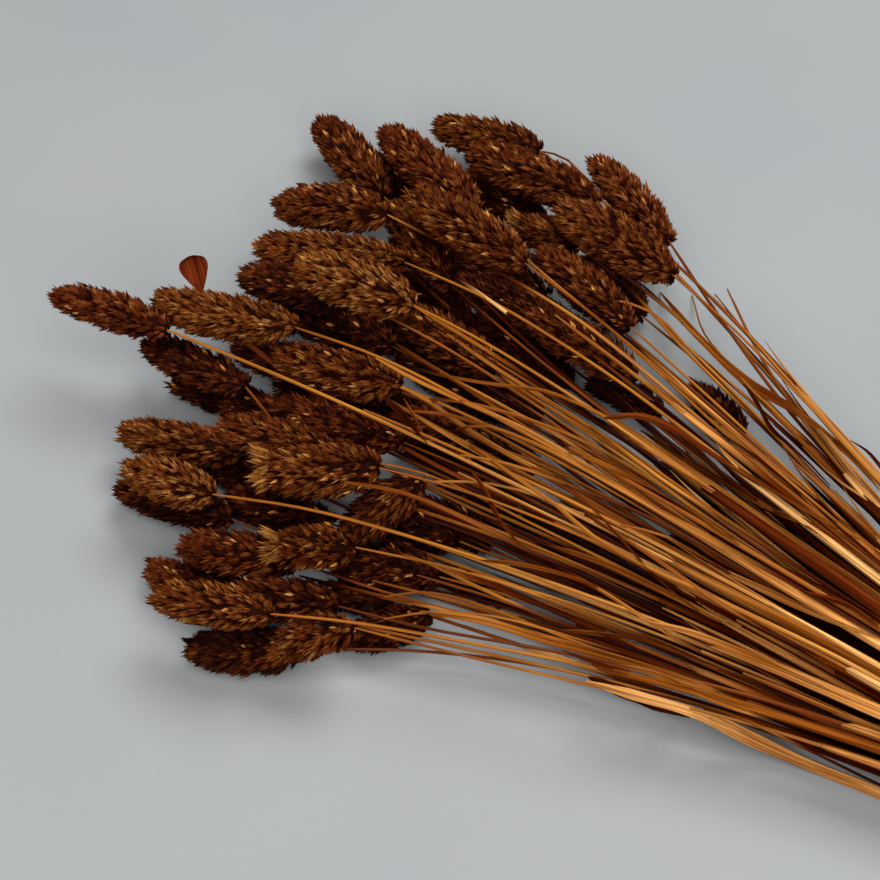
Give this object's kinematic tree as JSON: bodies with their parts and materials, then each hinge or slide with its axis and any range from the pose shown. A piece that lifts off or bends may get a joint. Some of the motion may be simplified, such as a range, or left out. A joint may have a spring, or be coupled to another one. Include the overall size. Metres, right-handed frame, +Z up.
{
  "type": "bunch of dried canary grass",
  "caption": "Flat-lying bunch of dried, dyed canary grass: scaly brown oval seed heads heaped at one end, golden straws fanning out from a twine tie near the cut ends.",
  "frame": {"origin": "middle of the bounding box of the footprint, on the surface that the bunch lies on", "axes": "+X runs along the bunch from the seed heads towards the cut ends, +Z is up, away from the surface"},
  "size_m": [0.4356, 0.2134, 0.0499],
  "materials": {
    "seed_head": "matt dry papery scales, dyed dark brown",
    "straw": "satin dry straw, dyed golden brown, with fine lengthwise ribs",
    "leaf": "dull dry leaf, dyed red brown",
    "twine": "hairy natural twine"
  },
  "bodies": {
    "root": {"stalk_01": "seed_head", "stalk_02": "seed_head", "stalk_03": "seed_head", "stalk_04": "seed_head", "stalk_05": "seed_head", "stalk_06": "seed_head", "stalk_07": "seed_head", "stalk_08": "seed_head", "stalk_09": "seed_head", "stalk_10": "seed_head", "stalk_11": "seed_head", "stalk_12": "seed_head", "stalk_13": "seed_head", "stalk_14": "seed_head", "stalk_15": "seed_head", "stalk_16": "seed_head", "stalk_17": "seed_head", "stalk_18": "seed_head", "stalk_19": "seed_head", "stalk_20": "seed_head", "stalk_21": "seed_head", "stalk_22": "seed_head", "stalk_23": "seed_head", "stalk_24": "seed_head", "stalk_25": "seed_head", "stalk_26": "seed_head", "stalk_27": "seed_head", "stalk_28": "seed_head", "stalk_29": "seed_head", "stalk_30": "seed_head", "stalk_31": "seed_head", "stalk_32": "seed_head", "stalk_33": "seed_head", "stalk_34": "seed_head", "stalk_35": "seed_head", "stalk_36": "seed_head", "stalk_37": "seed_head", "stalk_38": "seed_head", "stalk_39": "seed_head", "stalk_40": "seed_head", "stalk_41": "seed_head", "stalk_42": "seed_head", "stalk_43": "seed_head", "stalk_44": "seed_head", "stalk_45": "seed_head", "stalk_46": "seed_head", "stalk_47": "seed_head", "stalk_48": "seed_head", "stalk_49": "seed_head", "stalk_50": "seed_head", "stalk_51": "seed_head", "bare_straw_01": "straw", "bare_straw_02": "straw", "leaf_blade_01": "leaf", "leaf_blade_02": "leaf", "leaf_blade_03": "leaf", "leaf_blade_04": "leaf", "leaf_blade_05": "leaf", "leaf_fan": "leaf", "twine_tie": "twine"}
  },
  "joints": []
}
